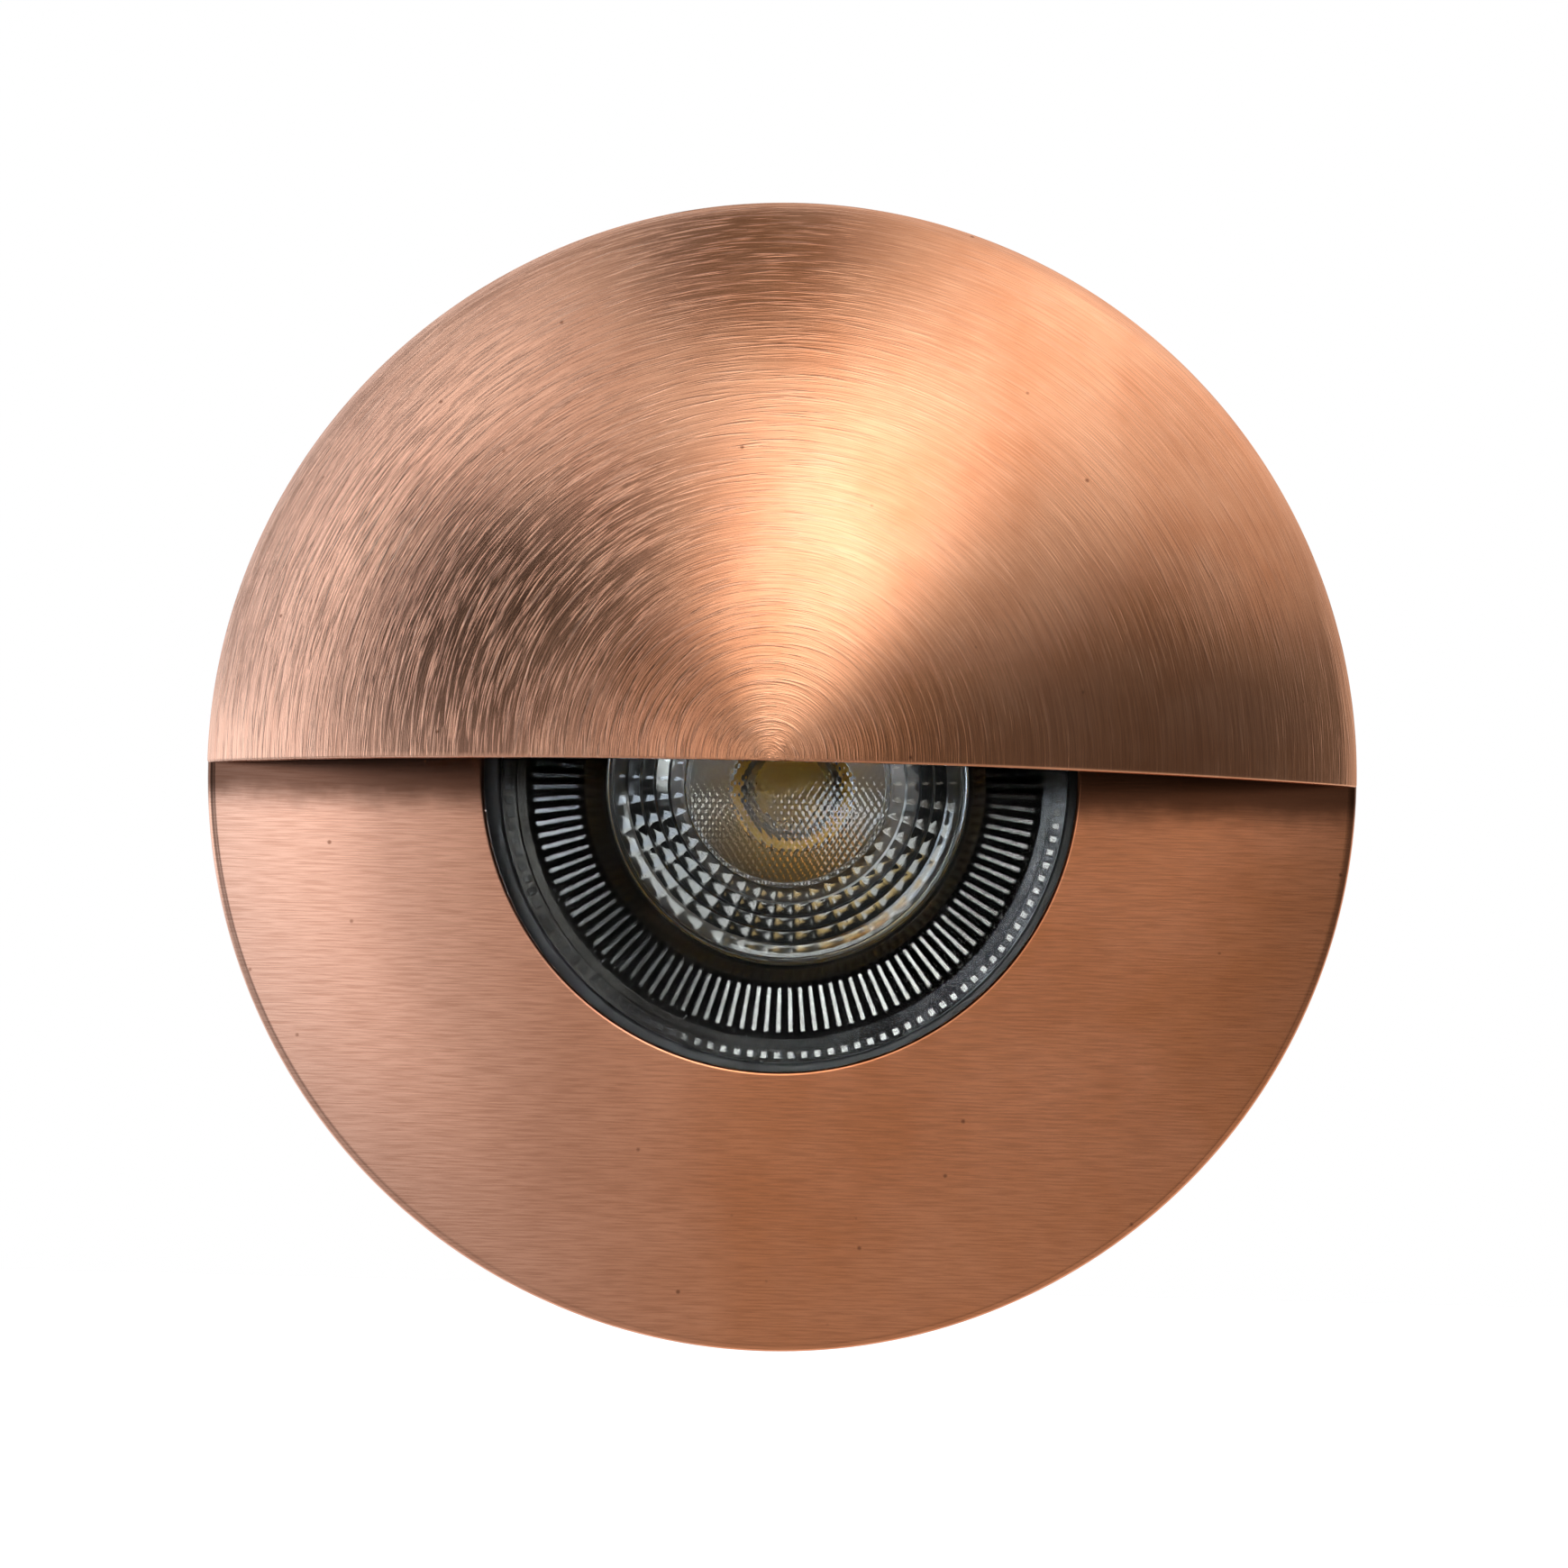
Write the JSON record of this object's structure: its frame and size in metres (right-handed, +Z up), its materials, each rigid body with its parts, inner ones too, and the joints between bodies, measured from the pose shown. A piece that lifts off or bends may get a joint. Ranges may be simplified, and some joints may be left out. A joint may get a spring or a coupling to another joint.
{
  "type": "step light",
  "caption": "Recessed round step light: brushed copper plate with an eyelid hood over a ribbed reflector lamp, in a wall sleeve that it turns in and pulls out of.",
  "frame": {"origin": "on the light's axis, in the plane of the wall that the sleeve's flange and the plate's rim rest on", "axes": "+Y along the axis into the wall, -Y towards the viewer, +Z up, with the hood over the upper half"},
  "size_m": [0.092, 0.169, 0.092],
  "materials": {
    "brushed_copper": "satin",
    "turned_brass": "satin",
    "black_nylon": "matte",
    "black_rubber": "matte",
    "clear_silicone": "satin",
    "cover_glass": "polished",
    "grey_lamp_plastic": "satin",
    "black_lamp_plastic": "satin",
    "clear_lens_plastic": "polished",
    "yellow_phosphor": "satin",
    "board_aluminium": "satin",
    "cast_aluminium": "satin",
    "circuit_board": "satin",
    "driver_components": "satin",
    "white_lamp_plastic": "satin",
    "nickel_plate": "gloss",
    "glazed_steatite": "gloss",
    "contact_bronze": "satin",
    "plated_steel": "satin",
    "sleeved_lead": "matte",
    "terminal_nylon": "satin"
  },
  "bodies": {
    "sleeve": {"wall_sleeve": "black_nylon", "sleeve_cap": "black_nylon"},
    "seals": {"barrel_oring_front": "black_rubber", "barrel_oring_rear": "black_rubber"},
    "barrel": {"barrel": "turned_brass", "lamp_bracket": "plated_steel", "bracket_standoffs": "plated_steel", "bracket_screws": "plated_steel", "lampholder": "glazed_steatite", "lampholder_contacts": "contact_bronze", "lampholder_screws": "plated_steel", "lead_left": "sleeved_lead", "lead_right": "sleeved_lead", "terminal_block": "terminal_nylon", "terminal_screws": "plated_steel", "gland_washer": "black_rubber", "gland_body": "black_nylon", "gland_seal": "black_rubber", "gland_nut": "black_nylon", "lamp_rim": "grey_lamp_plastic", "lamp_baffle": "black_lamp_plastic", "lamp_lens": "clear_lens_plastic", "led_chip": "yellow_phosphor", "led_board": "board_aluminium", "lamp_housing": "cast_aluminium", "driver_board": "circuit_board", "driver_parts": "driver_components", "lamp_base": "white_lamp_plastic", "lamp_pins": "nickel_plate"},
    "lens_pack": {"lens_glass": "cover_glass", "lens_gasket": "clear_silicone"},
    "face": {"face_plate": "brushed_copper", "eyelid_hood": "brushed_copper", "face_collar": "brushed_copper"}
  },
  "joints": [
    {"name": "fitting_pull", "type": "slide", "parent": "sleeve", "child": "seals", "axis": [0, -1, 0], "range_m": [0, 0.11]},
    {"name": "fitting_turn", "type": "hinge", "parent": "seals", "child": "barrel", "pos_m": [0, 0, 0], "axis": [0, -1, 0], "continuous": true},
    {"name": "lens_travel", "type": "slide", "parent": "barrel", "child": "lens_pack", "axis": [0, -1, 0], "range_m": [0, 0.006]},
    {"name": "face_turn", "type": "hinge", "parent": "lens_pack", "child": "face", "pos_m": [0, 0, 0], "axis": [0, -1, 0], "range_deg": [0, 1440]}
  ],
  "couplings": [
    {"joint": "lens_travel", "follows": "face_turn", "m_per_rad": 0.0002387}
  ]
}
